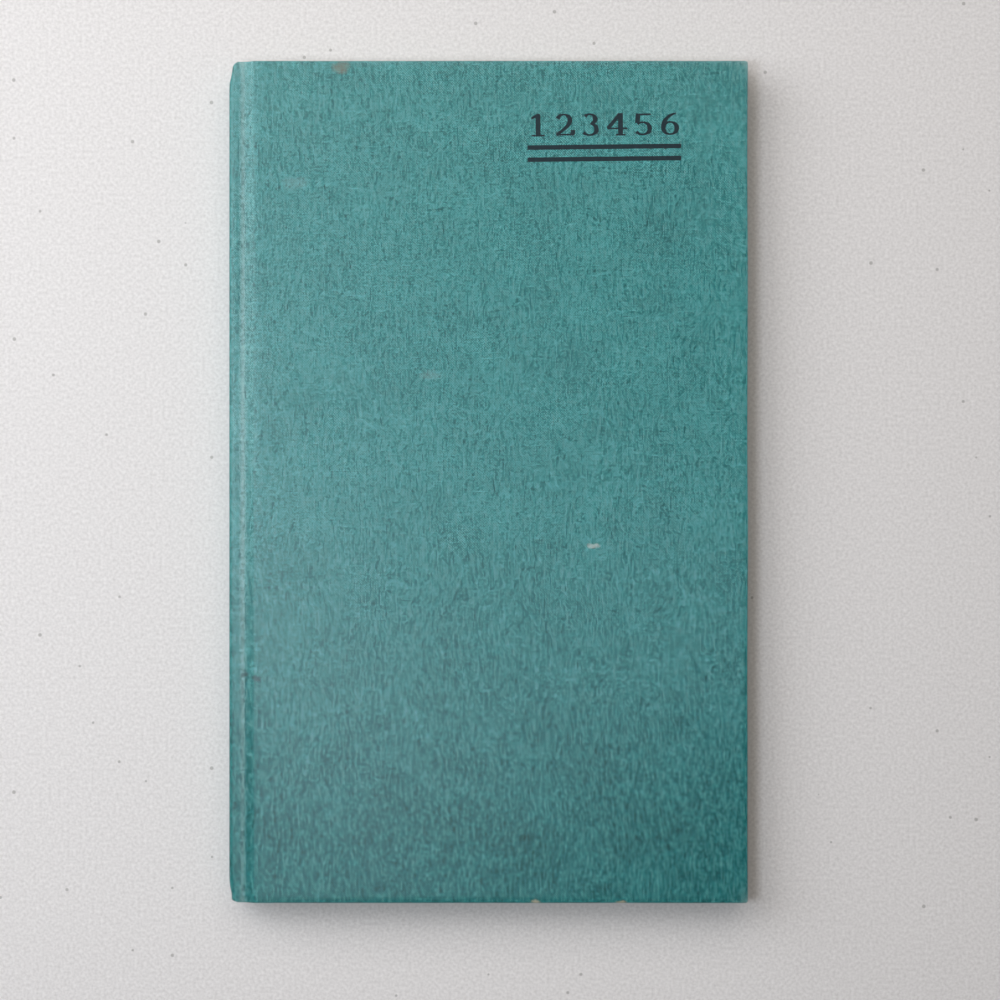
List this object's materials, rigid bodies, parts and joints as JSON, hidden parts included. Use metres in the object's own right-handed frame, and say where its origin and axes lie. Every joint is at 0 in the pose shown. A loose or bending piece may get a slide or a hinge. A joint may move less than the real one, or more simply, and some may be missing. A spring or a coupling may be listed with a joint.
{
  "type": "pilot logbook",
  "caption": "Closed cloth-bound log book with sewn sections, hinged boards and turning leaves.",
  "frame": {"origin": "under the middle of the closed book, on its back cover's outer face", "axes": "+X from the spine to the fore-edge, +Y to the head, +Z out of the front cover"},
  "size_m": [0.1842, 0.2984, 0.0158],
  "materials": {
    "book_cloth": "matt",
    "grey_board": "matt",
    "stamping_foil": "satin",
    "endpaper": "matt",
    "ledger_paper": "matt",
    "kraft_paper": "matt",
    "mull": "matt",
    "linen_tape": "matt",
    "linen_thread": "matt",
    "band_cloth": "matt"
  },
  "bodies": {
    "text_block": {"back_endpaper_fold": "endpaper", "back_flyleaf": "endpaper", "cover_cloth_spine": "book_cloth", "front_endpaper_fold": "endpaper", "headband": "band_cloth", "mull_spine": "mull", "section_1": "ledger_paper", "section_2": "ledger_paper", "section_3": "ledger_paper", "section_4": "ledger_paper", "section_5": "ledger_paper", "section_6": "ledger_paper", "section_7": "ledger_paper", "section_8": "ledger_paper", "section_9": "ledger_paper", "sewing_tapes": "linen_tape", "sewing_thread": "linen_thread", "spine_inlay": "grey_board", "spine_liner": "kraft_paper", "tailband": "band_cloth"},
    "front_cover": {"front_board": "grey_board", "cover_cloth_front": "book_cloth", "title_rules": "stamping_foil", "front_pastedown": "endpaper", "mull_front_flange": "mull", "front_tape_slips": "linen_tape"},
    "back_cover": {"back_board": "grey_board", "cover_cloth_back": "book_cloth", "back_pastedown": "endpaper", "mull_back_flange": "mull", "back_tape_slips": "linen_tape"},
    "front_flyleaf": {"front_flyleaf": "endpaper"},
    "leaf_1": {"leaf_1": "ledger_paper"},
    "leaf_2": {"leaf_2": "ledger_paper"},
    "leaf_3": {"leaf_3": "ledger_paper"},
    "leaf_4": {"leaf_4": "ledger_paper"}
  },
  "joints": [
    {"name": "front_cover_hinge", "type": "hinge", "parent": "text_block", "child": "front_cover", "pos_m": [-0.08787, 0, 0.01423], "axis": [0, -1, 0], "range_deg": [0, 180]},
    {"name": "back_cover_hinge", "type": "hinge", "parent": "text_block", "child": "back_cover", "pos_m": [-0.08787, 0, 0.00155], "axis": [0, 1, 0], "range_deg": [0, 180]},
    {"name": "front_flyleaf_crease", "type": "hinge", "parent": "text_block", "child": "front_flyleaf", "pos_m": [-0.0826, 0, 0.01268], "axis": [0, -1, 0], "range_deg": [0, 144]},
    {"name": "leaf_1_crease", "type": "hinge", "parent": "text_block", "child": "leaf_1", "pos_m": [-0.08199, 0, 0.01251], "axis": [0, -1, 0], "range_deg": [0, 115.2]},
    {"name": "leaf_2_crease", "type": "hinge", "parent": "text_block", "child": "leaf_2", "pos_m": [-0.08139, 0, 0.01236], "axis": [0, -1, 0], "range_deg": [0, 84.6]},
    {"name": "leaf_3_crease", "type": "hinge", "parent": "text_block", "child": "leaf_3", "pos_m": [-0.0808, 0, 0.01222], "axis": [0, -1, 0], "range_deg": [0, 54]},
    {"name": "leaf_4_crease", "type": "hinge", "parent": "text_block", "child": "leaf_4", "pos_m": [-0.0802, 0, 0.01208], "axis": [0, -1, 0], "range_deg": [0, 21.6]}
  ],
  "couplings": [
    {"joint": "front_flyleaf_crease", "follows": "front_cover_hinge", "ratio": 0.8},
    {"joint": "leaf_1_crease", "follows": "front_cover_hinge", "ratio": 0.64},
    {"joint": "leaf_2_crease", "follows": "front_cover_hinge", "ratio": 0.47},
    {"joint": "leaf_3_crease", "follows": "front_cover_hinge", "ratio": 0.3},
    {"joint": "leaf_4_crease", "follows": "front_cover_hinge", "ratio": 0.12}
  ]
}
